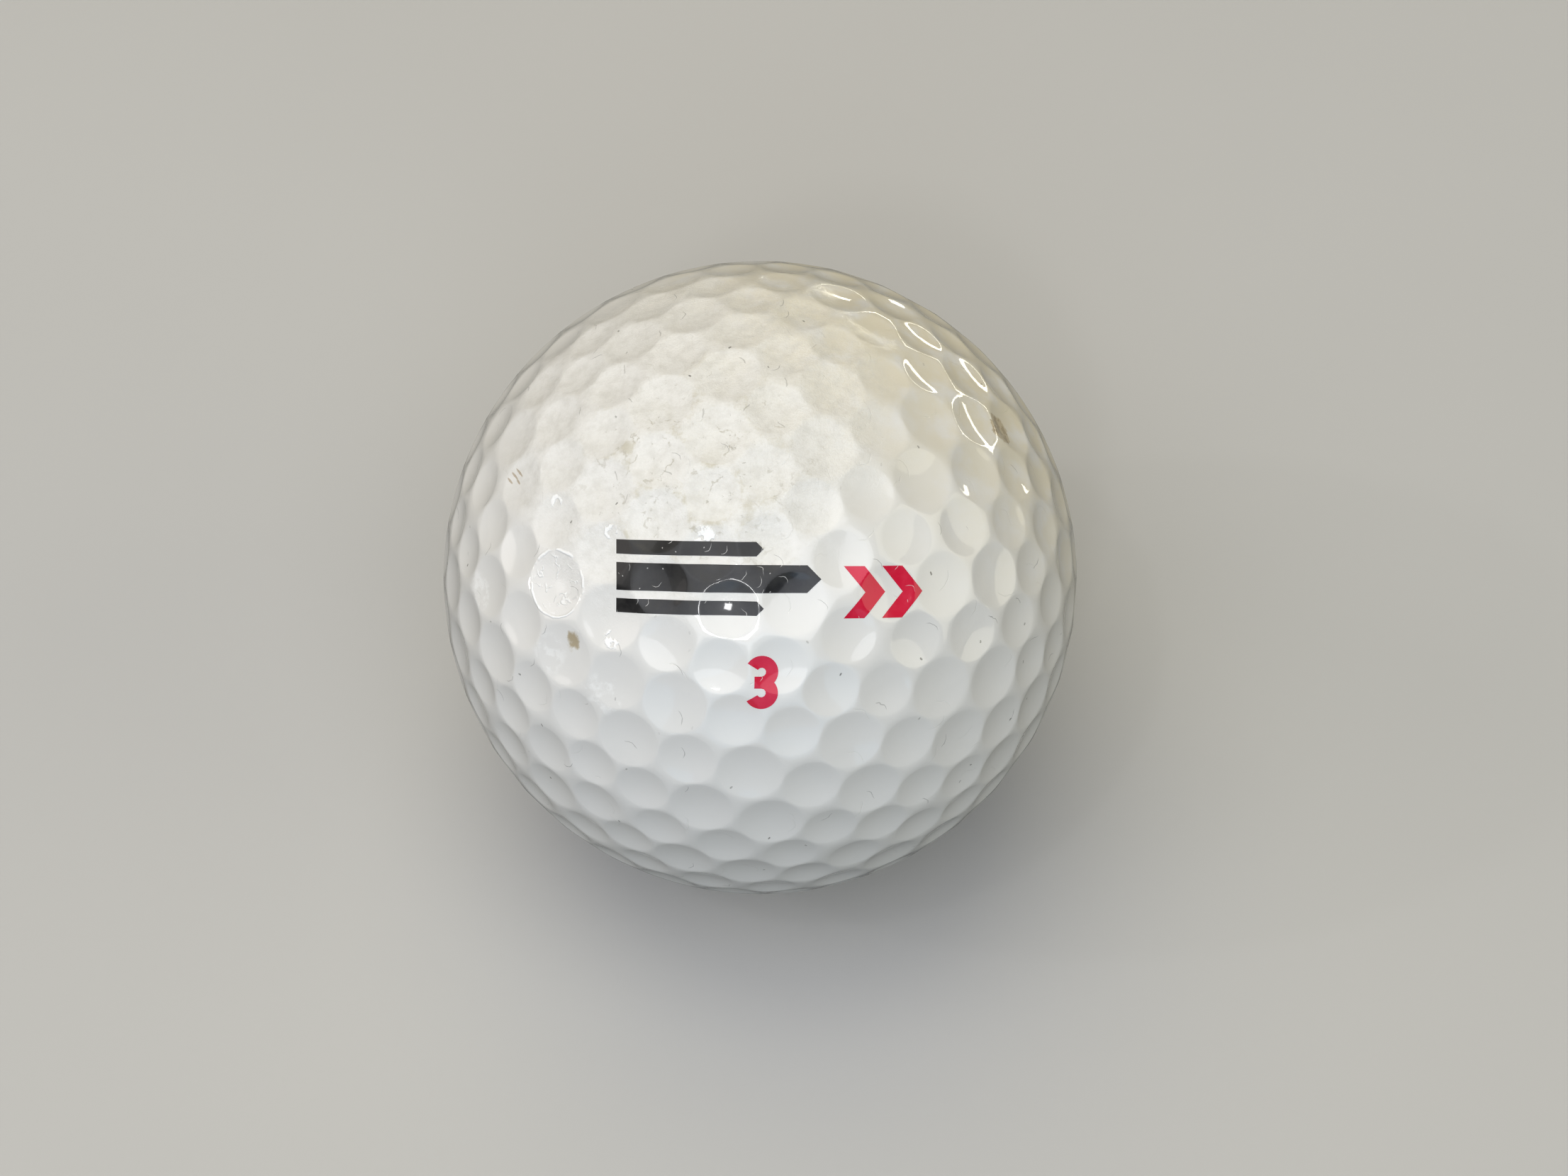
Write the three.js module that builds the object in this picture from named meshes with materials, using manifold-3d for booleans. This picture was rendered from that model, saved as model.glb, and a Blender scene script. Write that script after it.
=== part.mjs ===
// A golf ball: a solid rubber core inside a firm casing, a dimpled cover, and printed marks.
// The casing and the cover are each moulded as two cups that meet on the ball's equator.
// Everything is modelled in the ball's own frame, with the printed pole on +Z and the marks
// reading along +X, and the finished ball is then rolled to the way it lies, with +Z up.
// Lengths are millimetres and angles are degrees. The origin is the ball's centre.

import * as THREE from 'three';
import { ConvexHull } from 'three/addons/math/ConvexHull.js';
import { mergeVertices } from 'three/addons/utils/BufferGeometryUtils.js';
import Module from 'manifold-3d';

// Layers, from the outside in
const BALL_DIAMETER = 42.67;
const COVER_THICKNESS = 1.6;
const CASING_THICKNESS = 1.5;
const BOND_GAP = 0.05;
const BALL_RADIUS = BALL_DIAMETER / 2;
const COVER_INNER_RADIUS = BALL_RADIUS - COVER_THICKNESS;
const CASING_OUTER_RADIUS = COVER_INNER_RADIUS - BOND_GAP;
const CASING_INNER_RADIUS = CASING_OUTER_RADIUS - CASING_THICKNESS;
const CORE_RADIUS = CASING_INNER_RADIUS - BOND_GAP;

// Dimples: 432 in an icosahedral pattern. Each family is one seed, given by its angle from an
// icosahedron vertex and its turn from the edge that runs to the next vertex, and an angular radius.
const DIMPLE_FAMILIES = [
  { name: 'vertex', fromVertex: 0, fromEdge: 0, radius: 5.35 },
  { name: 'edge end', fromVertex: 15.7, fromEdge: 0, radius: 4.65 },
  { name: 'edge middle', fromVertex: 26.0, fromEdge: 0, radius: 5.4 },
  { name: 'beside vertex', fromVertex: 10.45, fromEdge: 36, radius: 4.75 },
  { name: 'face left', fromVertex: 21.8, fromEdge: 23.1, radius: 4.65 },
  { name: 'face right', fromVertex: 21.8, fromEdge: -23.1, radius: 4.65 },
  { name: 'face centre', fromVertex: 30.55, fromEdge: 36, radius: 5.5 },
  { name: 'beside edge', fromVertex: 49.55, fromEdge: 36, radius: 4.95 },
];
const EDGE_ANGLE = THREE.MathUtils.radToDeg(Math.atan(2));
const PATTERN_TURN = 5.9;
const DIMPLE_DEPTH_RATIO = 0.14;
const RIM_CORNERS = 8;
const RIM_INSET = 0.97;

// Rows near the equator move towards the poles and shrink, which leaves a plain parting line
const SEAM_REACH = 40;
const SEAM_SHIFT = 1.3;
const SEAM_SHRINK = 0.12;
const SEAM_GAP = 0.05;
const SEAM_POINTS = 72;

// Facets of the plain round layers
const ROUND_SEGMENTS = 36;
const ROUND_ROWS = 16;

// Ink: thin films that follow the dimpled surface
const INK_GAP = 0.03;
const INK_THICKNESS = 0.06;

// Black alignment mark: three bars with pointed right ends, the middle one longest and thickest
const BAR_LEFT = -10.4;
const BAR_LENGTH = 12;
const BAR_HEIGHT = 1.65;
const SIDE_BAR_LENGTH = 8.6;
const SIDE_BAR_HEIGHT = 0.85;
const BAR_SPACING = 1.75;
const BARS_CENTRE_Y = 1.4;

// Red chevrons to the right of the bars
const CHEVRON_LEFT = 3.0;
const CHEVRON_PITCH = 2.35;
const CHEVRON_WIDTH = 1.25;
const CHEVRON_REACH = 1.3;
const CHEVRON_HEIGHT = 3.1;
const CHEVRON_CENTRE_Y = 0.6;

// Red play number under the bars
const NUMERAL_CENTRE = [-1.85, -4.8];
const NUMERAL_HEIGHT = 3.25;
const NUMERAL_STROKE = 0.72;
const NUMERAL_STUB = 0.42;
const NUMERAL_OPENING = 148;

// How the ball lies: spun about its pole, tilted forwards, then swung to one side
const SPIN = -7.1;
const TILT = 39.4;
const SWING = 8.6;

const manifoldLibrary = await Module();
manifoldLibrary.setup();

function radians(degrees) {
  return THREE.MathUtils.degToRad(degrees);
}

// A unit vector at an angle from +Z, turned about +Z from +X
function direction(fromPole, turn) {
  const distance = Math.sin(radians(fromPole));
  const x = distance * Math.cos(radians(turn));
  const y = distance * Math.sin(radians(turn));
  return new THREE.Vector3(x, y, Math.cos(radians(fromPole)));
}

// Pattern

function icosahedronVertices() {
  const vertices = [direction(0, 0), direction(180, 0)];
  for (let k = 0; k < 5; k += 1) {
    vertices.push(direction(EDGE_ANGLE, 72 * k));
    vertices.push(direction(180 - EDGE_ANGLE, 72 * k + 36));
  }
  return vertices;
}

// One frame for each vertex and each edge that leaves it: 60 in all
function patternFrames() {
  const vertices = icosahedronVertices();
  const frames = [];
  for (const vertex of vertices) {
    for (const neighbour of vertices) {
      if (Math.abs(vertex.angleTo(neighbour) - radians(EDGE_ANGLE)) > 0.01) continue;
      const along = neighbour.clone().addScaledVector(vertex, -vertex.dot(neighbour)).normalize();
      const across = new THREE.Vector3().crossVectors(vertex, along);
      frames.push(new THREE.Matrix4().makeBasis(along, across, vertex));
    }
  }
  return frames;
}

// Moves a dimple near the equator away from it, and makes it a little smaller
function clearOfSeam(centre, radius) {
  const latitude = THREE.MathUtils.radToDeg(Math.asin(centre.z));
  const nearness = Math.max(0, 1 - Math.abs(latitude) / SEAM_REACH);
  const moved = latitude + Math.sign(latitude) * SEAM_SHIFT * nearness;
  const turn = THREE.MathUtils.radToDeg(Math.atan2(centre.y, centre.x));
  return { centre: direction(90 - moved, turn), radius: radius * (1 - SEAM_SHRINK * nearness) };
}

function dimpleList() {
  const frames = patternFrames();
  const turnPattern = new THREE.Matrix4().makeRotationZ(radians(PATTERN_TURN));
  const dimples = [];
  for (const family of DIMPLE_FAMILIES) {
    const seed = direction(family.fromVertex, family.fromEdge);
    const found = [];
    for (const frame of frames) {
      const centre = seed.clone().applyMatrix4(frame).applyMatrix4(turnPattern);
      if (found.some((other) => other.distanceTo(centre) < 0.01)) continue;
      found.push(centre);
      dimples.push(clearOfSeam(centre, family.radius));
    }
  }
  return dimples;
}

// Solids

function toManifold(geometry) {
  const bare = geometry.clone();
  bare.deleteAttribute('normal');
  bare.deleteAttribute('uv');
  const merged = mergeVertices(bare, 1e-4);
  const mesh = new manifoldLibrary.Mesh({
    numProp: 3,
    vertProperties: new Float32Array(merged.attributes.position.array),
    triVerts: new Uint32Array(merged.index.array),
  });
  return new manifoldLibrary.Manifold(mesh);
}

function toGeometry(solid) {
  const mesh = solid.getMesh();
  const geometry = new THREE.BufferGeometry();
  geometry.setAttribute('position', new THREE.BufferAttribute(mesh.vertProperties, 3));
  geometry.setIndex(new THREE.BufferAttribute(mesh.triVerts, 1));
  const faceted = geometry.toNonIndexed();
  faceted.computeVertexNormals();
  return faceted;
}

// The whole dimpled outer surface as one closed body: every dimple is a ring of rim corners on the
// ball's surface and a centre below it, and the hull of their directions joins them up
function dimpledBallGeometry() {
  const points = [];
  const radii = new Map();
  const place = (point, radius) => {
    points.push(point);
    radii.set(point, radius);
  };
  for (const dimple of dimpleList()) {
    const rimRadius = BALL_RADIUS * Math.sin(radians(dimple.radius));
    place(dimple.centre, BALL_RADIUS - rimRadius * DIMPLE_DEPTH_RATIO);
    const side = new THREE.Vector3(-dimple.centre.y, dimple.centre.x, 0);
    const axis = side.lengthSq() > 1e-6 ? side.normalize() : new THREE.Vector3(1, 0, 0);
    const start = dimple.centre.clone().applyAxisAngle(axis, radians(dimple.radius * RIM_INSET));
    for (let k = 0; k < RIM_CORNERS; k += 1) {
      place(start.clone().applyAxisAngle(dimple.centre, (2 * Math.PI * k) / RIM_CORNERS), BALL_RADIUS);
    }
  }
  for (let k = 0; k < SEAM_POINTS; k += 1) {
    place(direction(90, (360 * k) / SEAM_POINTS), BALL_RADIUS);
  }
  const corners = [];
  for (const face of new ConvexHull().setFromPoints(points).faces) {
    let edge = face.edge;
    do {
      const point = edge.head().point;
      corners.push(...point.clone().multiplyScalar(radii.get(point)).toArray());
      edge = edge.next;
    } while (edge !== face.edge);
  }
  const geometry = new THREE.BufferGeometry();
  geometry.setAttribute('position', new THREE.Float32BufferAttribute(corners, 3));
  return geometry;
}

// A round arc in the plane of the ball's axis, as points of a lathe profile
function arcPoints(radius, fromPole, toPole, rows) {
  const points = [];
  for (let k = 0; k <= rows; k += 1) {
    const angle = radians(fromPole + ((toPole - fromPole) * k) / rows);
    const distance = Math.max(0, radius * Math.sin(angle));
    points.push(new THREE.Vector2(distance < 1e-9 ? 0 : distance, radius * Math.cos(angle)));
  }
  return points;
}

function latheAboutPole(profile) {
  return new THREE.LatheGeometry(profile, ROUND_SEGMENTS).rotateX(Math.PI / 2);
}

function roundGeometry(radius) {
  return latheAboutPole(arcPoints(radius, 180, 0, ROUND_ROWS));
}

// Everything on one side of the equator, less half of the parting gap
function halfSpace(side) {
  const size = 2 * BALL_DIAMETER;
  const box = new THREE.BoxGeometry(size, size, size);
  return toManifold(box.translate(0, 0, side * (size / 2 + SEAM_GAP / 2)));
}

function cup(outer, innerRadius, side) {
  return toGeometry(outer.intersect(halfSpace(side)).subtract(toManifold(roundGeometry(innerRadius))));
}

// Marks, as flat outlines seen along the pole

function pointedBar(left, centreY, length, height) {
  const shape = new THREE.Shape();
  shape.moveTo(left, centreY - height / 2);
  shape.lineTo(left + length - height / 2, centreY - height / 2);
  shape.lineTo(left + length, centreY);
  shape.lineTo(left + length - height / 2, centreY + height / 2);
  shape.lineTo(left, centreY + height / 2);
  return shape;
}

function chevron(left, centreY) {
  const half = CHEVRON_HEIGHT / 2;
  const shape = new THREE.Shape();
  shape.moveTo(left, centreY - half);
  shape.lineTo(left + CHEVRON_WIDTH, centreY - half);
  shape.lineTo(left + CHEVRON_WIDTH + CHEVRON_REACH, centreY);
  shape.lineTo(left + CHEVRON_WIDTH, centreY + half);
  shape.lineTo(left, centreY + half);
  shape.lineTo(left + CHEVRON_REACH, centreY);
  return shape;
}

// The figure 3 as two equal bowls, one above the other, with a short middle stroke
function numeralThree() {
  const [x, y] = NUMERAL_CENTRE;
  const bowl = (NUMERAL_HEIGHT - NUMERAL_STROKE) / 4;
  const outer = bowl + NUMERAL_STROKE / 2;
  const inner = bowl - NUMERAL_STROKE / 2;
  const waist = Math.asin(bowl / outer);
  const opening = radians(NUMERAL_OPENING);
  const shape = new THREE.Shape();
  shape.absarc(x, y + bowl, outer, opening, -waist, true);
  shape.absarc(x, y - bowl, outer, waist, -opening, true);
  shape.absarc(x, y - bowl, inner, -opening, Math.PI / 2, false);
  shape.lineTo(x - NUMERAL_STUB, y - NUMERAL_STROKE / 2);
  shape.lineTo(x - NUMERAL_STUB, y + NUMERAL_STROKE / 2);
  shape.absarc(x, y + bowl, inner, -Math.PI / 2, opening, false);
  return shape;
}

// The film of ink that a mark leaves on the dimpled surface
function inkFilm(shape, ball) {
  const prism = new THREE.ExtrudeGeometry(shape, {
    depth: BALL_RADIUS,
    bevelEnabled: false,
    curveSegments: 10,
  });
  const under = 1 + INK_GAP / BALL_RADIUS;
  const over = 1 + (INK_GAP + INK_THICKNESS) / BALL_RADIUS;
  const stencil = toManifold(prism.translate(0, 0, BALL_RADIUS / 2));
  return toGeometry(stencil.intersect(ball.scale(over)).subtract(ball.scale(under)));
}

// Materials

function rubberCore() {
  return new THREE.MeshStandardMaterial({ color: 0x3f6f5f, roughness: 0.85, metalness: 0 });
}

function casingPlastic() {
  return new THREE.MeshStandardMaterial({ color: 0xb9c4c8, roughness: 0.6, metalness: 0 });
}

function coatedCover() {
  return new THREE.MeshStandardMaterial({ color: 0xe9e7df, roughness: 0.2, metalness: 0 });
}

function blackInk() {
  return new THREE.MeshStandardMaterial({ color: 0x1b1b1d, roughness: 0.25, metalness: 0 });
}

function redInk() {
  return new THREE.MeshStandardMaterial({ color: 0xb5232b, roughness: 0.25, metalness: 0 });
}

// Assembly

function addMesh(group, name, geometry, material) {
  const mesh = new THREE.Mesh(geometry, material);
  mesh.name = name;
  group.add(mesh);
}

function addInside(ball) {
  const casing = toManifold(roundGeometry(CASING_OUTER_RADIUS));
  addMesh(ball, 'core', roundGeometry(CORE_RADIUS), rubberCore());
  addMesh(ball, 'casing_half_front', cup(casing, CASING_INNER_RADIUS, 1), casingPlastic());
  addMesh(ball, 'casing_half_back', cup(casing, CASING_INNER_RADIUS, -1), casingPlastic());
}

function addCover(ball, dimpledBall) {
  addMesh(ball, 'cover_half_front', cup(dimpledBall, COVER_INNER_RADIUS, 1), coatedCover());
  addMesh(ball, 'cover_half_back', cup(dimpledBall, COVER_INNER_RADIUS, -1), coatedCover());
}

function addMarks(ball, dimpledBall) {
  const bar = (name, offset, length, height) => {
    const shape = pointedBar(BAR_LEFT, BARS_CENTRE_Y + offset, length, height);
    addMesh(ball, name, inkFilm(shape, dimpledBall), blackInk());
  };
  bar('alignment_bar_upper', BAR_SPACING, SIDE_BAR_LENGTH, SIDE_BAR_HEIGHT);
  bar('alignment_bar_middle', 0, BAR_LENGTH, BAR_HEIGHT);
  bar('alignment_bar_lower', -BAR_SPACING, SIDE_BAR_LENGTH, SIDE_BAR_HEIGHT);
  ['chevron_left', 'chevron_right'].forEach((name, k) => {
    const shape = chevron(CHEVRON_LEFT + k * CHEVRON_PITCH, CHEVRON_CENTRE_Y);
    addMesh(ball, name, inkFilm(shape, dimpledBall), redInk());
  });
  addMesh(ball, 'play_number', inkFilm(numeralThree(), dimpledBall), redInk());
}

function golfBall() {
  const ball = new THREE.Group();
  ball.rotation.z = radians(SPIN);
  const dimpledBall = toManifold(dimpledBallGeometry());
  addInside(ball);
  addCover(ball, dimpledBall);
  addMarks(ball, dimpledBall);
  const tilted = new THREE.Group();
  tilted.rotation.x = radians(TILT);
  tilted.add(ball);
  const lying = new THREE.Group();
  lying.rotation.z = radians(SWING);
  lying.add(tilted);
  return lying;
}

export default golfBall();
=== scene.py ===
"""Looks of a worn, printed golf ball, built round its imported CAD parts.

The ball is worked out in its own frame: the printed pole on +Z and the marks reading along +X.
Its lengths are millimetres and its angles degrees until a mesh is made, which is in metres, in the
CAD's frame, with the ball rolled to the way it lies.
"""
import math

import bpy
import numpy as np
from mathutils import Matrix, Vector
from mathutils.geometry import delaunay_2d_cdt


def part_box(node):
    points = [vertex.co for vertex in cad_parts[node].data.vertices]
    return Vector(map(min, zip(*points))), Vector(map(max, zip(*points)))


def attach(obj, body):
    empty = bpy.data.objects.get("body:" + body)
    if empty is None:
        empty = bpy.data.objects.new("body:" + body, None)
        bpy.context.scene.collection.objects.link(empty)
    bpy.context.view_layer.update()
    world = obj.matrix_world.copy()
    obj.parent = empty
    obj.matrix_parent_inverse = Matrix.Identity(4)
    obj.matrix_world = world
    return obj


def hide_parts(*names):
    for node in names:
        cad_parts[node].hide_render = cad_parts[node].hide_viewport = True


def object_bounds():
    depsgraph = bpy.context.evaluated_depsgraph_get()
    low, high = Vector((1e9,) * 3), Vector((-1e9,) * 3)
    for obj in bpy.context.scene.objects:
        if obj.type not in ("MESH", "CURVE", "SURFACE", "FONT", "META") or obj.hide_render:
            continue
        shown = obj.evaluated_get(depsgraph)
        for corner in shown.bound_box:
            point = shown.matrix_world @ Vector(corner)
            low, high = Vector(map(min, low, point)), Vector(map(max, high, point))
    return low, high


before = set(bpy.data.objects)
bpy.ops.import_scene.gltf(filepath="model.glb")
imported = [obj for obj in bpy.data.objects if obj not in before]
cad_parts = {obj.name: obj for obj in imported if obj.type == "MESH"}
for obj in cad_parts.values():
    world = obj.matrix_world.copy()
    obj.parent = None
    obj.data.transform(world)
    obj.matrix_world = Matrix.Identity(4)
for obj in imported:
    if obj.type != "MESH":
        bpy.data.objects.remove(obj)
cad_low, cad_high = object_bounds()

# ---------------------------------------------------------------- sizes
MM = 0.001
BALL_RADIUS = max(cad_high - cad_low) / 2 / MM
CASING_RADIUS = max(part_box("casing_half_front")[1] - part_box("casing_half_back")[0]) / 2 / MM
BOND_GAP = 0.05
SEAM_GAP = 0.01

# How the ball lies: spun about its pole, tilted forwards, then swung to one side
SPIN = -7.1
TILT = 39.4
SWING = 8.6
LYING = (
    Matrix.Rotation(math.radians(SWING), 3, "Z")
    @ Matrix.Rotation(math.radians(TILT), 3, "X")
    @ Matrix.Rotation(math.radians(SPIN), 3, "Z")
)

# Dimple families of the icosahedral pattern: angle from a vertex, turn from the edge, angular radius
DIMPLE_FAMILIES = {
    "vertex": (0, 0, 5.35),
    "edge_end": (15.7, 0, 4.65),
    "edge_middle": (26.0, 0, 5.4),
    "beside_vertex": (10.45, 36, 4.75),
    "face_left": (21.8, 23.1, 4.65),
    "face_right": (21.8, -23.1, 4.65),
    "face_centre": (30.55, 36, 5.5),
    "beside_edge": (49.55, 36, 4.95),
}
EDGE_ANGLE = math.degrees(math.atan(2))
PATTERN_TURN = 5.9
DEPTH_RATIO = 0.14
RIM_ROUNDING = 0.028
SEAM_REACH = 40
SEAM_SHIFT = 1.3
SEAM_SHRINK = 0.12
# Small dents: angle from the pole, turn, radius and depth
DENTS = (
    (55.2, 36.6, 0.6, 0.05),
    (38.4, -168.0, 0.4, 0.03),
    (57.5, 157.5, 0.5, 0.025),
    (88, -60, 0.7, 0.04),
)
# The groove along the parting line
SEAM_GROOVE_DEPTH = 0.012
SEAM_GROOVE_WIDTH = 0.08

# Ink: films of this thickness, this far above the cover, in steps of this length
INK_GAP = 0.004
INK_THICKNESS = 0.012
INK_STEP = 0.13

# Black alignment mark: three bars with pointed right ends, the middle one longest and thickest
BAR_LEFT = -10.4
BAR_LENGTH = 12
BAR_HEIGHT = 1.65
SIDE_BAR_LENGTH = 8.6
SIDE_BAR_HEIGHT = 0.85
BAR_SPACING = 1.75
BARS_CENTRE_Y = 1.4

# Red chevrons to the right of the bars
CHEVRON_LEFT = 3.0
CHEVRON_PITCH = 2.35
CHEVRON_WIDTH = 1.25
CHEVRON_REACH = 1.3
CHEVRON_HEIGHT = 3.1
CHEVRON_CENTRE_Y = 0.6

# Red play number under the bars
NUMERAL_CENTRE = (-1.85, -4.8)
NUMERAL_HEIGHT = 3.25
NUMERAL_STROKE = 0.72
NUMERAL_STUB = 0.42
NUMERAL_OPENING = 148

# Wear, each kind placed by its angle from the pole and its turn about it.
# The matt patch with its radius, the dimple whose coat is cracked (its white partly a painted highlight),
# the yellower side, and the grime
SCUFFED = (41, 118)
SCUFF_RADIUS = 12.5
CRACKED = (41, 176)
IVORY = (84, 52)
GRIME = (28, 127)
# A brown stain and its tail, a scrape at the right, and short streaks with the way they run
STAIN = (38.5, -168.2)
STAIN_TAIL = (40, -166.6)
SCRAPE = (55.2, 36.6)
STREAKS = ((57.2, 155.6), (58.0, 156.6), (58.6, 157.9), (56.6, 157.4))
STREAK_HEADING = (0.5, 0.45, 0.75)
STREAK_WIDTH = 0.16
STREAK_LENGTHS = (0.9, 0.78, 0.66, 0.54)
# Spots of flaked coat, tinted white as painted highlights, and pale blotches, each with its radius
FLAKED_GLINT_SPOTS = ((45.3, 157.8, 0.45), (32.7, 159.4, 0.5), (18.0, 143.4, 0.65), (31.1, -167.2, 0.6))
WHITENED = ((61.7, -179.2, 1.2), (44.2, -165.9, 1.1), (36.4, -152.4, 1.3))

# How far a hair or scratch strays from straight, as a part of its length
STROKE_WANDER = 0.4

# Mesh fineness: rings as parts of a dimple's radius, and the length of a step along a cell's border
RINGS = (0.22, 0.42, 0.6, 0.75, 0.86, 0.93, 0.97, 1.0)
BORDER_STEP = 0.28
DOME_ROWS = 8
SLOPE_STEP = 0.02


def direction(from_pole, turn):
    a, b = math.radians(from_pole), math.radians(turn)
    return np.array([math.sin(a) * math.cos(b), math.sin(a) * math.sin(b), math.cos(a)])


def unit(vectors):
    return vectors / np.linalg.norm(vectors, axis=-1, keepdims=True)


def on_ball(where):
    """The point of the lying ball, in millimetres, at this angle from the pole and turn about it."""
    return LYING @ Vector(direction(*where)) * BALL_RADIUS


# ---------------------------------------------------------------- dimple pattern
def pattern_frames():
    """One frame for each vertex of an icosahedron and each edge that leaves it, 60 in all."""
    vertices = [direction(0, 0), direction(180, 0)]
    for k in range(5):
        vertices.append(direction(EDGE_ANGLE, 72 * k))
        vertices.append(direction(180 - EDGE_ANGLE, 72 * k + 36))
    frames = []
    for vertex in vertices:
        for neighbour in vertices:
            apart = math.degrees(math.acos(np.clip(vertex @ neighbour, -1, 1)))
            if abs(apart - EDGE_ANGLE) < 1:
                along = unit(neighbour - vertex * (vertex @ neighbour))
                frames.append(np.stack([along, np.cross(vertex, along), vertex], axis=1))
    return frames


def dimple_pattern():
    """Centres, as unit vectors, and angular radii. Rows near the equator give room to the parting line."""
    turn_pattern = np.array(Matrix.Rotation(math.radians(PATTERN_TURN), 3, "Z"))
    centres, radii = [], []
    for from_vertex, from_edge, radius in DIMPLE_FAMILIES.values():
        seed = direction(from_vertex, from_edge)
        found = []
        for axes in pattern_frames():
            centre = turn_pattern @ axes @ seed
            if all(np.linalg.norm(centre - other) > 0.01 for other in found):
                found.append(centre)
        for centre in found:
            latitude = math.degrees(math.asin(centre[2]))
            nearness = max(0, 1 - abs(latitude) / SEAM_REACH)
            moved = latitude + math.copysign(SEAM_SHIFT * nearness, latitude)
            turn = math.degrees(math.atan2(centre[1], centre[0]))
            centres.append(direction(90 - moved, turn))
            radii.append(math.radians(radius * (1 - SEAM_SHRINK * nearness)))
    return np.array(centres), np.array(radii)


CENTRES, RADII = dimple_pattern()


def depth_below_ball(directions, centres, radii):
    """How far the surface lies below the ball's sphere: a shallow round dish in every dimple."""
    across = np.sin(radii)
    away = 1 - (directions @ centres.T) ** 2
    away = np.where(directions @ centres.T > 0, away, 1)
    dish = DEPTH_RATIO * BALL_RADIUS * across * (1 - away / across**2)
    rounded = (dish + np.sqrt(dish**2 + RIM_ROUNDING**2)) / 2
    groove = SEAM_GROOVE_DEPTH * np.exp(-((directions[:, 2] * BALL_RADIUS / SEAM_GROOVE_WIDTH) ** 2))
    total = rounded.sum(axis=1) + groove
    for from_pole, turn, radius, depth in DENTS:
        off_centre = np.linalg.norm(directions - direction(from_pole, turn), axis=1) * BALL_RADIUS
        total += depth * np.exp(-((off_centre / radius) ** 2))
    return total


def surface(directions, centres, radii):
    """Points on the dimpled surface along these directions, and the surface's normals there."""
    radius = BALL_RADIUS - depth_below_ball(directions, centres, radii)
    step = math.radians(SLOPE_STEP)
    aside = np.where(np.abs(directions[:, 2:]) < 0.9, [[0, 0, 1.0]], [[1.0, 0, 0]])
    side = unit(np.cross(directions, aside))
    normals = directions.copy()
    for tangent in (side, np.cross(directions, side)):
        ahead = unit(directions + step * tangent)
        behind = unit(directions - step * tangent)
        rise = depth_below_ball(behind, centres, radii) - depth_below_ball(ahead, centres, radii)
        normals = normals - tangent * (rise / (2 * step) / radius)[:, None]
    return directions * radius[:, None], unit(normals)


# ---------------------------------------------------------------- cover
def clip(polygon, line):
    """The part of a flat polygon on the positive side of line[0] + line[1] x + line[2] y."""
    kept = []
    for here, there in zip(polygon, np.roll(polygon, -1, axis=0)):
        a, b = line[0] + line[1:] @ here, line[0] + line[1:] @ there
        if a >= 0:
            kept.append(here)
        if a * b < 0:
            kept.append(here + (there - here) * a / (a - b))
    return np.array(kept)


def cell_border(k, centres, radii, near):
    """The border of the land round one dimple, shared with its neighbours, as evenly spaced directions."""
    centre = centres[k]
    u = unit(np.cross(centre, [0.3, 0.2, 1.0]))
    v = np.cross(centre, u)
    polygon = np.array([[1, 1], [-1, 1], [-1, -1], [1, -1]]) * math.tan(math.radians(20))
    for other in near:
        plane = centre / math.cos(radii[k]) - centres[other] / math.cos(radii[other])
        polygon = clip(polygon, np.array([plane @ centre, plane @ u, plane @ v]))
    corners = unit(centre + polygon[:, :1] * u + polygon[:, 1:] * v)
    border = []
    for here, there in zip(corners, np.roll(corners, -1, axis=0)):
        steps = int(math.ceil(np.linalg.norm(there - here) * BALL_RADIUS / BORDER_STEP - 1e-6))
        for part in range(steps):
            border.append(here + (there - here) * part / steps)
    return unit(np.array(border))


def cell_mesh(k, centres, radii):
    """Directions and faces of one dimple and its land: rings from the centre to the rim and the border."""
    centre = centres[k]
    near = [j for j in np.argsort(-(centres @ centre))[:12] if j != k]
    border = cell_border(k, centres, radii, near)
    angle = np.arccos(np.clip(border @ centre, -1, 1))
    outward = unit(border - centre * np.cos(angle)[:, None])
    rim = np.minimum(radii[k], angle * 0.995)
    points = [centre[None]]
    for part in RINGS:
        points.append(centre * np.cos(rim * part)[:, None] + outward * np.sin(rim * part)[:, None])
    points.append(border)
    count = len(border)
    faces = [(0, 1 + s, 1 + (s + 1) % count) for s in range(count)]
    for ring in range(len(RINGS)):
        base = 1 + ring * count
        for s in range(count):
            t = (s + 1) % count
            faces.append((base + s, base + count + s, base + count + t, base + t))
    directions = np.concatenate(points)
    positions, normals = surface(directions, centres[near + [k]], radii[near + [k]])
    return directions, positions, normals, faces


def merge_corners(directions, faces):
    """Gives points that share a direction one number, and drops sides of no length."""
    _, first, number = np.unique(np.round(directions, 7), axis=0, return_index=True, return_inverse=True)
    number = number.reshape(-1)
    merged = []
    for face in faces:
        corners = [number[c] for c in face]
        corners = [c for i, c in enumerate(corners) if c != corners[i - 1]]
        if len(set(corners)) > 2:
            merged.append(corners)
    return first, merged


def cup_geometry(side):
    """One cup of the cover: dimpled outside, plain round inside, flat where it meets the other cup."""
    own = CENTRES[:, 2] * side > 0
    mirrored = CENTRES[own] * [1, 1, -1]
    centres = np.concatenate([CENTRES[own], mirrored])
    radii = np.concatenate([RADII[own], RADII[own]])
    directions, positions, normals, faces, base = [], [], [], [], 0
    for k in range(own.sum()):
        cell = cell_mesh(k, centres, radii)
        directions.append(cell[0])
        positions.append(cell[1])
        normals.append(cell[2])
        faces += [tuple(base + c for c in face) for face in cell[3]]
        base += len(cell[0])
    directions = np.concatenate(directions)
    first, faces = merge_corners(directions, faces)
    directions = directions[first]
    positions = np.concatenate(positions)[first]
    normals = np.concatenate(normals)[first]
    positions, normals, faces = close_inside(side, directions, positions, normals, faces)
    return positions, normals, faces


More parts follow.
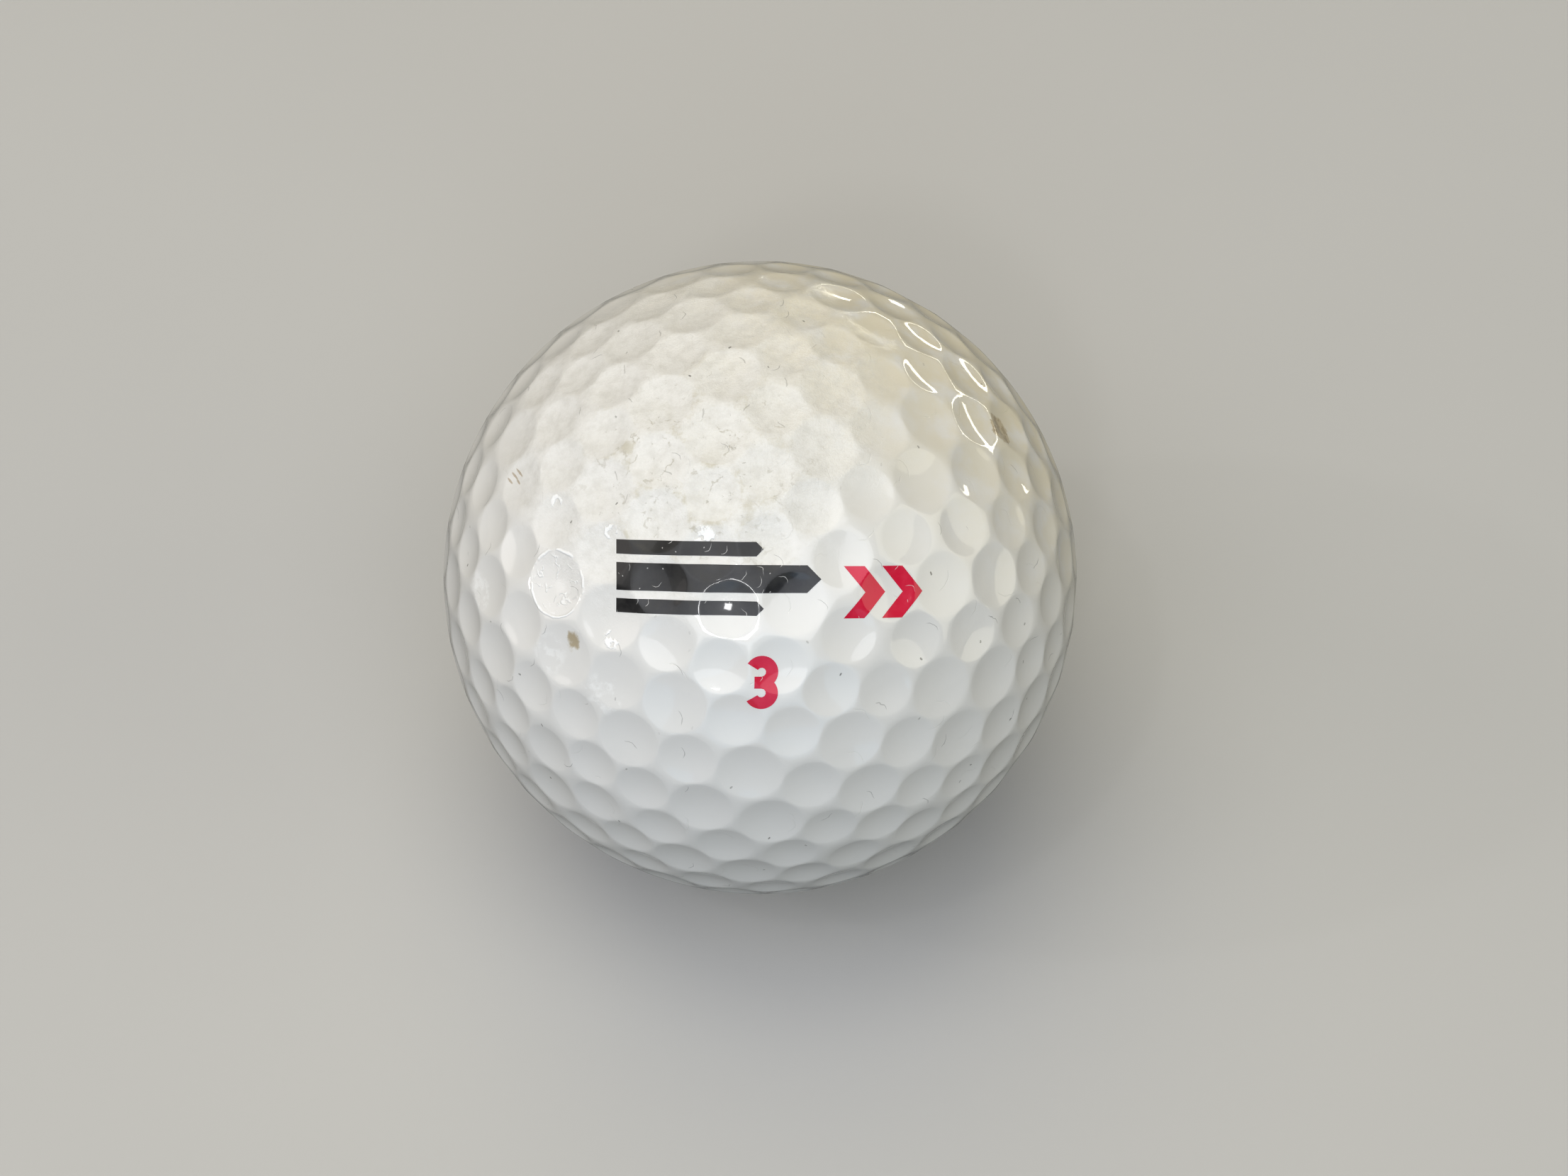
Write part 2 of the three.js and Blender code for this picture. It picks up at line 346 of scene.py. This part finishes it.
def close_inside(side, directions, positions, normals, faces):
    """Adds the flat joint and the inner dome to the open outer surface."""
    inner_radius = CASING_RADIUS + BOND_GAP
    ring = np.flatnonzero(np.abs(directions[:, 2]) < 1e-6)
    ring = ring[np.argsort(np.arctan2(directions[ring, 1], directions[ring, 0]))]
    positions[ring, 2] = side * SEAM_GAP
    count = len(ring)
    rows = [list(ring)]
    extra, extra_normals = [], []
    for row in range(DOME_ROWS):
        rise = math.radians(90 * row / DOME_ROWS)
        dome = directions[ring] * math.cos(rise) + [0, 0, side * math.sin(rise)]
        rows.append(list(len(positions) + len(extra) * count + np.arange(count)))
        extra.append(dome * inner_radius + [0, 0, side * SEAM_GAP])
        extra_normals.append(-dome)
    top = len(positions) + len(extra) * count
    positions = np.concatenate([positions, *extra, [[0, 0, side * (inner_radius + SEAM_GAP)]]])
    normals = np.concatenate([normals, *extra_normals, [[0, 0, -side]]])
    for lower, upper in zip(rows, rows[1:]):
        for s in range(count):
            t = (s + 1) % count
            faces.append((lower[s], upper[s], upper[t], lower[t])[::side])
    for s in range(count):
        faces.append((rows[-1][s], top, rows[-1][(s + 1) % count])[::side])
    return positions, normals, faces


def lay_down(vectors):
    """Turns vectors from the ball's own frame to the way the ball lies."""
    return vectors @ np.array(LYING).T


def make_piece(name, positions, normals, faces, material, depth=None):
    mesh = bpy.data.meshes.new(name)
    mesh.from_pydata(lay_down(positions) * MM, [], faces)
    if depth is not None:
        mesh.attributes.new("depth", "FLOAT", "POINT").data.foreach_set("value", depth)
    mesh.shade_smooth()
    mesh.normals_split_custom_set_from_vertices(lay_down(normals))
    mesh.materials.append(material)
    piece = bpy.data.objects.new(name, mesh)
    bpy.context.scene.collection.objects.link(piece)
    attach(piece, "root")
    return piece


def make_cover(material):
    for side, end in ((1, "front"), (-1, "back")):
        positions, normals, faces = cup_geometry(side)
        depth = BALL_RADIUS - np.linalg.norm(positions, axis=1)
        cup = make_piece(f"cover_cup_{end}", positions, normals, faces, material, depth)
        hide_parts(f"cover_half_{end}")


# ---------------------------------------------------------------- marks
def arc(centre, radius, start, end):
    """Points along a round arc, from one angle to another, about INK_STEP apart."""
    count = max(2, int(abs(math.radians(end - start)) * radius / INK_STEP))
    angles = np.radians(np.linspace(start, end, count))
    return [(centre[0] + radius * math.cos(a), centre[1] + radius * math.sin(a)) for a in angles]


def pointed_bar(offset, length, height):
    y, half = BARS_CENTRE_Y + offset, height / 2
    right = BAR_LEFT + length
    return [(BAR_LEFT, y - half), (right - half, y - half), (right, y), (right - half, y + half),
            (BAR_LEFT, y + half)]


def chevron(left):
    y, half = CHEVRON_CENTRE_Y, CHEVRON_HEIGHT / 2
    shoulder = left + CHEVRON_WIDTH
    return [(left, y - half), (shoulder, y - half), (shoulder + CHEVRON_REACH, y), (shoulder, y + half),
            (left, y + half), (left + CHEVRON_REACH, y)]


def numeral_three():
    """Two equal bowls, one above the other, with a short middle stroke."""
    x, y = NUMERAL_CENTRE
    bowl = (NUMERAL_HEIGHT - NUMERAL_STROKE) / 4
    outer, inner = bowl + NUMERAL_STROKE / 2, bowl - NUMERAL_STROKE / 2
    waist = math.degrees(math.asin(bowl / outer))
    upper, lower = (x, y + bowl), (x, y - bowl)
    outline = arc(upper, outer, NUMERAL_OPENING, -waist)
    outline += arc(lower, outer, waist, -NUMERAL_OPENING)[1:]
    outline += arc(lower, inner, -NUMERAL_OPENING, 90)
    outline += [(x - NUMERAL_STUB, y - NUMERAL_STROKE / 2), (x - NUMERAL_STUB, y + NUMERAL_STROKE / 2)]
    return outline + arc(upper, inner, -90, NUMERAL_OPENING)


def inside(outline, points):
    """Which points lie inside the outline, by counting the sides that a line to the right crosses."""
    crossings = np.zeros(len(points), int)
    for here, there in zip(outline, np.roll(outline, -1, axis=0)):
        spans = (here[1] > points[:, 1]) != (there[1] > points[:, 1])
        slope = (there[0] - here[0]) / (there[1] - here[1] or 1)
        crossings += spans & (points[:, 0] < here[0] + slope * (points[:, 1] - here[1]))
    return crossings % 2 == 1


def triangulate(outline):
    """Flat points and triangles that fill an outline, fine enough to follow the dimples."""
    border = []
    for here, there in zip(outline, outline[1:] + outline[:1]):
        steps = max(1, round(math.dist(here, there) / INK_STEP))
        border += [np.add(here, np.subtract(there, here) * part / steps) for part in range(steps)]
    border = np.array(border)
    low, high = border.min(axis=0), border.max(axis=0)
    grid = np.stack(np.meshgrid(*(np.arange(a, b, INK_STEP) for a, b in zip(low, high))), axis=-1)
    grid = grid.reshape(-1, 2)
    apart = np.linalg.norm(grid[:, None] - border[None], axis=2).min(axis=1)
    grid = grid[inside(border, grid) & (apart > INK_STEP / 2)]
    points = [Vector(p) for p in np.concatenate([border, grid])]
    loop = [list(range(len(border)))]
    flat, _, triangles, *_ = delaunay_2d_cdt(points, [], loop, 1, 1e-6)
    return np.array(flat), [list(t) for t in triangles], len(border)


def on_surface(flat, lift):
    """Carries flat points along the pole onto the dimpled surface, and lift above it."""
    near = CENTRES[:, 2] > 0.5
    height = np.sqrt(BALL_RADIUS**2 - (flat**2).sum(axis=1))
    for _ in range(5):
        directions = unit(np.column_stack([flat, height]))
        depth = depth_below_ball(directions, CENTRES[near], RADII[near])
        height = np.sqrt((BALL_RADIUS + lift - depth) ** 2 - (flat**2).sum(axis=1))
    _, normals = surface(directions, CENTRES[near], RADII[near])
    return np.column_stack([flat, height]), normals


def make_mark(name, node, outline, material):
    flat, triangles, border = triangulate(outline)
    top, normals = on_surface(flat, INK_GAP + INK_THICKNESS)
    bottom, _ = on_surface(flat, INK_GAP)
    count = len(flat)
    faces = triangles + [[count + c for c in reversed(t)] for t in triangles]
    for s in range(border):
        t = (s + 1) % border
        faces.append([s, count + s, count + t, t])
    normals = np.concatenate([normals, -normals])
    piece = make_piece(name, np.concatenate([top, bottom]), normals, faces, material)
    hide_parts(node)


def make_marks(black, red):
    bars = {
        "upper": (BAR_SPACING, SIDE_BAR_LENGTH, SIDE_BAR_HEIGHT),
        "middle": (0, BAR_LENGTH, BAR_HEIGHT),
        "lower": (-BAR_SPACING, SIDE_BAR_LENGTH, SIDE_BAR_HEIGHT),
    }
    for place, sizes in bars.items():
        make_mark(f"ink_bar_{place}", f"alignment_bar_{place}", pointed_bar(*sizes), black)
    for k, place in enumerate(("left", "right")):
        outline = chevron(CHEVRON_LEFT + k * CHEVRON_PITCH)
        make_mark(f"ink_chevron_{place}", f"chevron_{place}", outline, red)
    make_mark("ink_play_number", "play_number", numeral_three(), red)


# ---------------------------------------------------------------- materials
class Paint:
    """One material's nodes. Each method adds a node and gives back the socket that comes out of it."""

    def __init__(self, name):
        self.material = bpy.data.materials.new(name)
        self.material.use_nodes = True
        self.tree = self.material.node_tree
        self.shader = self.tree.nodes["Principled BSDF"]
        place = self.node("TexCoord", output="Object")
        self.place = self.node("VectorMath", {0: place, "Scale": 1 / MM}, operation="SCALE")

    def node(self, kind, inputs=None, output=0, **settings):
        node = self.tree.nodes.new("ShaderNode" + kind)
        for setting, value in settings.items():
            setattr(node, setting, value)
        for socket, value in (inputs or {}).items():
            self.feed(node.inputs[socket], value)
        return node.outputs[output]

    def feed(self, socket, value):
        if isinstance(value, bpy.types.NodeSocket):
            self.tree.links.new(value, socket)
        else:
            socket.default_value = value

    def math(self, operation, *values):
        return self.node("Math", dict(enumerate(values)), operation=operation)

    def vector(self, operation, *values):
        scalar = operation in ("DISTANCE", "DOT_PRODUCT", "LENGTH")
        return self.node("VectorMath", dict(enumerate(values)), output=int(scalar), operation=operation)

    def times(self, *values):
        product = values[0]
        for value in values[1:]:
            product = self.math("MULTIPLY", product, value)
        return product

    def plus(self, *values):
        total = values[0]
        for value in values[1:]:
            total = self.math("ADD", total, value)
        return total

    def ramp(self, value, low, high, start=0.0, end=1.0):
        """A smooth step from start to end as the value goes from low to high."""
        inputs = {"Value": value, 1: low, 2: high, 3: start, 4: end}
        return self.node("MapRange", inputs, interpolation_type="SMOOTHSTEP")

    def noise(self, per_mm, detail=2.0, roughness=0.5, shift=0.0):
        place = self.vector("ADD", self.place, (shift, shift, shift))
        inputs = {"Vector": place, "Scale": per_mm, "Detail": detail, "Roughness": roughness}
        return self.node("TexNoise", inputs, output="Fac")

    def blend(self, amount, first, second):
        inputs = {"Factor": amount, 6: first, 7: second}
        return self.node("Mix", inputs, output=2, data_type="RGBA")

    def tint(self, colour, amount, other):
        """The colour, with another one laid over it by this amount."""
        return self.blend(amount, colour, (*other, 1))

    def off_middle(self, value):
        """How far a noise is from its middle value, which is 0 along thin wandering lines."""
        return self.math("ABSOLUTE", self.math("SUBTRACT", value, 0.5))

    def patch(self, where, radius, softness, raggedness=0.0, per_mm=0.5):
        """A patch round the place at these ball angles, 1 inside and 0 outside, with a ragged edge."""
        away = self.vector("DISTANCE", self.place, on_ball(where))
        if raggedness:
            wobble = self.math("SUBTRACT", self.noise(per_mm, 4, 0.6), 0.5)
            away = self.math("MULTIPLY_ADD", wobble, raggedness, away)
        return self.ramp(away, radius + softness / 2, radius - softness / 2)

    def strokes(self, spacing, length, width, share, bend=0.0, shift=0.0):
        """Short thin strokes at random places and turns, in about this share of the cells."""
        wander = self.node("TexNoise", {"Vector": self.place, "Scale": 1.5 / length}, output="Color")
        wander = self.vector("MULTIPLY", wander, (STROKE_WANDER * length,) * 3)
        place = self.vector("ADD", self.vector("ADD", self.place, wander), (shift, shift, shift))
        cells = {"Vector": place, "Scale": 1 / spacing}
        cell = self.node("TexVoronoi", cells, output="Position")
        chance = cell.node.outputs["Color"]
        offset = self.vector("SUBTRACT", place, cell)
        turn = self.vector("SUBTRACT", chance, (0.5, 0.5, 0.5))
        along = self.vector("NORMALIZE", self.vector("CROSS_PRODUCT", turn, self.place))
        across = self.vector("NORMALIZE", self.vector("CROSS_PRODUCT", along, self.place))
        x = self.math("DIVIDE", self.vector("DOT_PRODUCT", offset, along), length / 2)
        y = self.math("DIVIDE", self.vector("DOT_PRODUCT", offset, across), width / 2)
        bow = self.times(self.math("MULTIPLY", x, x), bend / width * 2)
        y = self.math("ADD", y, bow)
        blunt = self.math("POWER", self.math("ABSOLUTE", x), 4)
        reach = self.math("SQRT", self.plus(blunt, self.times(y, y)))
        stroke = self.ramp(reach, 1.2, 0.6)
        present = self.math("LESS_THAN", self.node("SeparateColor", {0: chance}, output=0), share)
        return self.times(stroke, present)

    def dash(self, where, heading, length, width):
        """One short straight mark at these ball angles, along this heading, with a broken edge."""
        centre = on_ball(where)
        along = Vector(heading).cross(centre).normalized()
        across = along.cross(centre).normalized()
        offset = self.vector("SUBTRACT", self.place, centre)
        x = self.math("DIVIDE", self.vector("DOT_PRODUCT", offset, along), length / 2)
        y = self.math("DIVIDE", self.vector("DOT_PRODUCT", offset, across), width / 2)
        reach = self.plus(self.times(x, x), self.times(y, y), self.noise(4, 3))
        return self.ramp(reach, 1.7, 0.9)

    def bump(self, height_mm):
        """Feeds this height, in millimetres, to the base and to the coat over it."""
        normal = self.node("Bump", {"Height": height_mm, "Distance": MM, "Strength": 1.0})
        self.feed(self.shader.inputs["Normal"], normal)
        self.feed(self.shader.inputs["Coat Normal"], normal)

    def fix(self, **values):
        """Sets constant sockets, named with underscores for spaces."""
        for name, value in values.items():
            self.shader.inputs[name.replace("_", " ")].default_value = value

    def scuffed(self):
        """1 where the coat is worn matt, with a ragged edge, and 0 where it is glossy."""
        return self.patch(SCUFFED, SCUFF_RADIUS, 5, 9, 0.35)


def cracked_hollow():
    """The centre and the rim's radius, in millimetres, of the dimple whose coat is cracked."""
    k = int(np.argmax(CENTRES @ direction(*CRACKED)))
    return LYING @ Vector(CENTRES[k]) * BALL_RADIUS, math.sin(RADII[k]) * BALL_RADIUS


def cover_colour(paint, scuffed, land):
    """White paint, yellower at one side, mottled where it is matt, and dirty over the grime."""
    colour = paint.blend(paint.noise(0.25, 3), (0.80, 0.79, 0.765, 1), (0.765, 0.755, 0.725, 1))
    cloudy = paint.ramp(paint.noise(0.5, 4, shift=7), 0.25, 0.6)
    ivory = paint.times(paint.patch(IVORY, 17, 16, 8, 0.2), cloudy)
    colour = paint.tint(colour, paint.times(ivory, 0.55), (0.72, 0.64, 0.43))
    grain = paint.ramp(paint.noise(7, 3, 0.7), 0.38, 0.62)
    colour = paint.tint(colour, paint.times(scuffed, grain, 0.25), (0.86, 0.86, 0.84))
    mottle = paint.ramp(paint.noise(1.3, 4, 0.6, shift=29), 0.38, 0.72)
    colour = paint.tint(colour, paint.times(scuffed, mottle, 0.4), (0.62, 0.605, 0.565))
    near_grime = paint.patch(GRIME, 6.5, 8, 6, 0.4)
    blotches = paint.ramp(paint.noise(0.55, 6, 0.7, shift=3), 0.46, 0.66)
    grime = paint.times(near_grime, blotches, paint.plus(0.2, paint.times(land, 0.8)))
    colour = paint.tint(colour, paint.times(grime, 0.6), (0.52, 0.48, 0.36))
    crumbs = paint.ramp(paint.noise(1.7, 6, 0.75, shift=21), 0.60, 0.70)
    colour = paint.tint(colour, paint.times(near_grime, crumbs, 0.5), (0.33, 0.31, 0.25))
    off_line = paint.off_middle(paint.noise(0.22, 5, 0.55, shift=31))
    broken = paint.ramp(paint.noise(1.1, 3, shift=33), 0.5, 0.6)
    lines = paint.times(near_grime, paint.ramp(off_line, 0.012, 0.002), broken)
    return paint.tint(colour, paint.times(lines, 0.4), (0.36, 0.33, 0.25))


def cover_stains(paint, colour):
    """The colour with the stain, the scrape, the streaks, the specks and the hairs laid over it."""
    stain = paint.patch(STAIN, 0.5, 0.35, 1.0, 2.2)
    colour = paint.tint(colour, paint.times(stain, 0.75), (0.40, 0.31, 0.16))
    tail = paint.patch(STAIN_TAIL, 0.25, 0.3, 0.7, 2.6)
    colour = paint.tint(colour, paint.times(tail, 0.5), (0.45, 0.37, 0.22))
    scrape = paint.patch(SCRAPE, 1.0, 0.2, 1.3, 1.2)
    colour = paint.tint(colour, paint.times(scrape, 0.7), (0.52, 0.43, 0.27))
    torn = paint.times(scrape, paint.ramp(paint.noise(2.2, 3, shift=43), 0.5, 0.56))
    colour = paint.tint(colour, paint.times(torn, 0.5), (0.30, 0.23, 0.13))
    for where, length in zip(STREAKS, STREAK_LENGTHS):
        streak = paint.dash(where, STREAK_HEADING, length, STREAK_WIDTH)
        colour = paint.tint(colour, paint.times(streak, 0.6), (0.36, 0.26, 0.14))
    clusters = paint.ramp(paint.noise(0.12, 3, shift=19), 0.42, 0.62)
    specks = paint.times(paint.strokes(2.3, 0.22, 0.12, 0.14, shift=2), paint.plus(0.15, clusters))
    colour = paint.tint(colour, paint.times(specks, 0.65), (0.17, 0.16, 0.14))
    hairs = paint.strokes(3.1, 0.95, 0.05, 0.22, bend=0.15, shift=5)
    colour = paint.tint(colour, paint.times(hairs, 0.5), (0.27, 0.26, 0.25))
    marks = paint.times(paint.strokes(2.4, 0.7, 0.09, 0.3, shift=23), paint.patch(SCUFFED, 9, 8))
    return paint.tint(colour, paint.times(marks, 0.45), (0.36, 0.35, 0.32))


def cracks_and_glints(paint):
    """The cracked coat of one dimple: where it has lifted at the rim and in folds across, 0 to 1. Its
    white tint in the cover is partly lifted coat and partly a painted highlight of the ring's glint.
    """
    centre, rim = cracked_hollow()
    away = paint.vector("DISTANCE", paint.place, centre)
    wobble = paint.times(paint.math("SUBTRACT", paint.noise(1.0, 3), 0.5), 0.5)
    off_rim = paint.math("ABSOLUTE", paint.plus(away, wobble, -rim))
    ring_breaks = paint.ramp(paint.noise(0.9, 2, shift=4), 0.38, 0.5)
    ring = paint.times(paint.ramp(off_rim, 0.13, 0.02), ring_breaks)
    within = paint.ramp(away, rim, rim * 0.75)
    off_fold = paint.off_middle(paint.noise(0.75, 3, 0.55, shift=6))
    fold_breaks = paint.ramp(paint.noise(1.5, 2, shift=8), 0.4, 0.55)
    folds = paint.times(within, paint.ramp(off_fold, 0.035, 0.0), fold_breaks)
    return paint.math("MAXIMUM", ring, paint.times(folds, 0.8))


def flakes_and_glints(paint):
    """Small spots where the coat has flaked and stands up, 0 to 1. The white they get in the cover's
    colour is a painted highlight.
    """
    grit = paint.ramp(paint.noise(1.6, 3, shift=37), 0.47, 0.53)
    spots = [paint.patch((away, turn), size, 0.15, size, 1.8) for away, turn, size in FLAKED_GLINT_SPOTS]
    return paint.times(paint.plus(*spots), grit)


def whitened(paint):
    """Soft pale blotches in the coat, 0 to 1."""
    cloud = paint.ramp(paint.noise(1.1, 4, 0.65, shift=41), 0.44, 0.6)
    blotches = [paint.patch((away, turn), size, 0.8, size, 1.0) for away, turn, size in WHITENED]
    return paint.times(paint.plus(*blotches), cloud)


def cover_material():
    paint = Paint("worn_white_cover")
    depth = paint.node("Attribute", output="Fac", attribute_name="depth")
    land = paint.ramp(depth, 0.05, 0.02)
    scuffed = paint.scuffed()
    cracked = paint.math("MAXIMUM", cracks_and_glints(paint), flakes_and_glints(paint))
    colour = cover_stains(paint, cover_colour(paint, scuffed, land))
    colour = paint.tint(colour, paint.times(whitened(paint), 0.45), (0.93, 0.93, 0.91))
    # Cracked and flaked coat tinted white: partly lifted coat, partly a painted highlight of glints
    colour = paint.tint(colour, paint.times(cracked, 0.8), (0.95, 0.95, 0.94))
    paint.feed(paint.shader.inputs["Base Color"], colour)
    rough = paint.ramp(paint.noise(0.8, 4), 0.3, 0.7, 0.34, 0.46)
    paint.feed(paint.shader.inputs["Roughness"], paint.plus(rough, paint.times(scuffed, 0.15)))
    worn = paint.times(scuffed, paint.ramp(paint.noise(1.5, 5, 0.7), 0.3, 0.5, 0.75, 1.0))
    paint.feed(paint.shader.inputs["Coat Weight"], paint.math("SUBTRACT", 1.0, worn))
    peel = paint.times(paint.noise(0.7, 2), 0.010)
    grain = paint.times(scuffed, paint.noise(7, 3, 0.7), 0.035)
    scratches = paint.times(paint.strokes(2.2, 1.4, 0.06, 0.25, bend=0.3, shift=9), -0.008)
    paint.bump(paint.plus(peel, grain, scratches, paint.times(cracked, 0.03)))
    paint.fix(Coat_Roughness=0.03, Coat_IOR=1.5)
    return paint.material


def ink_material(name, colour, faded):
    paint = Paint(name)
    scuffed = paint.scuffed()
    mottle = paint.ramp(paint.noise(1.6, 4, 0.6), 0.35, 0.7)
    shade = paint.blend(paint.times(mottle, 0.35), (*colour, 1), (*faded, 1))
    shade = paint.tint(shade, paint.times(scuffed, 0.4), faded)
    scratches = paint.strokes(1.1, 0.7, 0.045, 0.3, bend=0.2, shift=13)
    specks = paint.strokes(0.8, 0.1, 0.07, 0.12, shift=17)
    bare = paint.math("MAXIMUM", scratches, specks)
    shade = paint.tint(shade, paint.times(bare, 0.6), (0.75, 0.74, 0.72))
    paint.feed(paint.shader.inputs["Base Color"], shade)
    paint.feed(paint.shader.inputs["Roughness"], paint.ramp(mottle, 0, 1, 0.3, 0.42))
    worn = paint.times(scuffed, 0.7)
    paint.feed(paint.shader.inputs["Coat Weight"], paint.math("SUBTRACT", 1.0, worn))
    peel = paint.times(paint.noise(0.7, 2), 0.010)
    paint.bump(paint.plus(peel, paint.times(bare, -0.006)))
    paint.fix(Coat_Roughness=0.06, Coat_IOR=1.5)
    return paint.material


def rubber_material():
    paint = Paint("core_rubber")
    flecks = paint.ramp(paint.noise(1.4, 5, 0.7), 0.55, 0.7)
    colour = paint.blend(paint.noise(0.3, 3), (0.05, 0.16, 0.12, 1), (0.035, 0.115, 0.09, 1))
    colour = paint.tint(colour, paint.times(flecks, 0.5), (0.16, 0.3, 0.24))
    paint.feed(paint.shader.inputs["Base Color"], colour)
    paint.feed(paint.shader.inputs["Roughness"], paint.ramp(paint.noise(2, 4), 0.3, 0.7, 0.7, 0.9))
    paint.bump(paint.times(paint.noise(3, 4, 0.6), 0.05))
    return paint.material


def casing_material():
    paint = Paint("casing_plastic")
    colour = paint.blend(paint.noise(0.2, 3), (0.47, 0.53, 0.56, 1), (0.42, 0.48, 0.51, 1))
    paint.feed(paint.shader.inputs["Base Color"], colour)
    paint.feed(paint.shader.inputs["Roughness"], paint.ramp(paint.noise(1, 4), 0.3, 0.7, 0.45, 0.65))
    paint.bump(paint.times(paint.noise(5, 3), 0.02))
    return paint.material


def repaint_inside():
    """Gives the plain inside layers, which keep their CAD shapes, their own materials."""
    casing = casing_material()
    materials = {"core": rubber_material(), "casing_half_front": casing, "casing_half_back": casing}
    for node, material in materials.items():
        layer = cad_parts[node]
        layer.data.materials.clear()
        layer.data.materials.append(material)


# ---------------------------------------------------------------- stage
CAMERA_ELEVATION = 55
CAMERA_DISTANCE = 7.55
SENSOR_WIDTH = 36
LENS = 54.4
SHIFT = (0.01524, -0.00674)
FLOOR_RADIUS = 0.5
FLOOR_CORNERS = 96
LIGHT_DISTANCE = 1.0
VIEW_GAMMA = 0.8
BACKDROP = (0.56, 0.56, 0.55)
# How much light the floor reflects to every ray but the camera's
FLOOR_BOUNCE = (0.33, 0.33, 0.32)


def make_camera():
    data = bpy.data.cameras.new("camera")
    data.sensor_width = SENSOR_WIDTH
    data.lens = LENS
    data.shift_x, data.shift_y = SHIFT
    data.clip_start = 0.01
    camera = bpy.data.objects.new("camera", data)
    bpy.context.scene.collection.objects.link(camera)
    elevation = math.radians(CAMERA_ELEVATION)
    back = Vector((0, -math.cos(elevation), math.sin(elevation)))
    camera.location = back * CAMERA_DISTANCE * BALL_RADIUS * MM
    camera.rotation_euler = (-back).to_track_quat("-Z", "Y").to_euler()
    bpy.context.scene.camera = camera


def make_light(name, toward, size, power, colour, long_side=None):
    """A flat lamp at this direction from the ball, facing it: round, or oblong with a long level side."""
    data = bpy.data.lights.new(name, "AREA")
    data.shape = "RECTANGLE" if long_side else "DISK"
    data.size = long_side or size
    if long_side:
        data.size_y = size
    data.energy = power
    data.color = colour
    light = bpy.data.objects.new(name, data)
    bpy.context.scene.collection.objects.link(light)
    away = Vector(toward).normalized()
    light.location = away * LIGHT_DISTANCE
    light.rotation_euler = away.to_track_quat("Z", "Y").to_euler()


def make_floor():
    """Pale paper to the camera. To every other ray it is darker, so it throws less light on the ball."""
    paint = Paint("floor_paper")
    seen = paint.node("LightPath", output="Is Camera Ray")
    colour = paint.blend(paint.noise(0.02, 3), (0.55, 0.546, 0.535, 1), (0.57, 0.566, 0.555, 1))
    paint.feed(paint.shader.inputs["Base Color"], paint.blend(seen, (*FLOOR_BOUNCE, 1), colour))
    paint.fix(Roughness=0.9, Specular_IOR_Level=0.0)
    mesh = bpy.data.meshes.new("floor")
    turns = [math.tau * k / FLOOR_CORNERS for k in range(FLOOR_CORNERS)]
    corners = [(FLOOR_RADIUS * math.cos(t), FLOOR_RADIUS * math.sin(t), cad_low[2]) for t in turns]
    mesh.from_pydata(corners, [], [range(FLOOR_CORNERS)])
    mesh.materials.append(paint.material)
    floor = bpy.data.objects.new("floor", mesh)
    bpy.context.scene.collection.objects.link(floor)


def make_studio(strength):
    world = bpy.data.worlds.new("studio")
    world.use_nodes = True
    tree = world.node_tree
    background = tree.nodes["Background"]
    background.inputs["Color"].default_value = (0.95, 0.97, 1.0, 1)
    background.inputs["Strength"].default_value = strength
    backdrop = tree.nodes.new("ShaderNodeBackground")
    backdrop.inputs["Color"].default_value = (*BACKDROP, 1)
    seen = tree.nodes.new("ShaderNodeLightPath")
    either = tree.nodes.new("ShaderNodeMixShader")
    tree.links.new(seen.outputs["Is Camera Ray"], either.inputs[0])
    tree.links.new(background.outputs[0], either.inputs[1])
    tree.links.new(backdrop.outputs[0], either.inputs[2])
    tree.links.new(either.outputs[0], tree.nodes["World Output"].inputs["Surface"])
    bpy.context.scene.world = world
    view = bpy.context.scene.view_settings
    view.view_transform = "Standard"
    view.gamma = VIEW_GAMMA


make_cover(cover_material())
make_marks(
    ink_material("black_ink", (0.011, 0.011, 0.013), (0.06, 0.058, 0.052)),
    ink_material("red_ink", (0.66, 0.010, 0.062), (0.70, 0.045, 0.10)),
)
repaint_inside()
make_floor()
make_camera()
make_studio(0.08)
make_light("overhead", (-0.12, -0.44, 0.89), 1.5, 9.4, (0.92, 0.94, 1.0))
make_light("top", (-0.15, 0.35, 0.93), 1.0, 3.6, (1.0, 0.91, 0.65))
make_light("left_fill", (-1.0, -0.1, 0.45), 0.8, 1.9, (1.0, 0.93, 0.9))
make_light("right_fill", (1.0, -0.2, 0.4), 0.8, 2.0, (1.0, 0.95, 0.76))
make_light("low_front", (0.0, -1.0, 0.12), 1.0, 1.8, (0.45, 0.73, 1.0))
make_light("back_window", (0.56, 0.82, 0.05), 0.05, 1.2, (1.0, 0.97, 0.84), long_side=0.9)
make_light("left_window", (-0.983, -0.119, 0.133), 0.05, 0.22, (1.0, 0.98, 0.95), long_side=0.05)
make_light("front_lamp", (-0.169, -0.726, 0.665), 0.08, 0.6, (1.0, 1.0, 1.0), long_side=0.08)
for name, toward in (("left", (-0.796, -0.117, 0.597)), ("upper", (-0.328, -0.323, 0.889))):
    make_light(f"{name}_lamp", toward, 0.05, 0.25, (1.0, 1.0, 1.0))
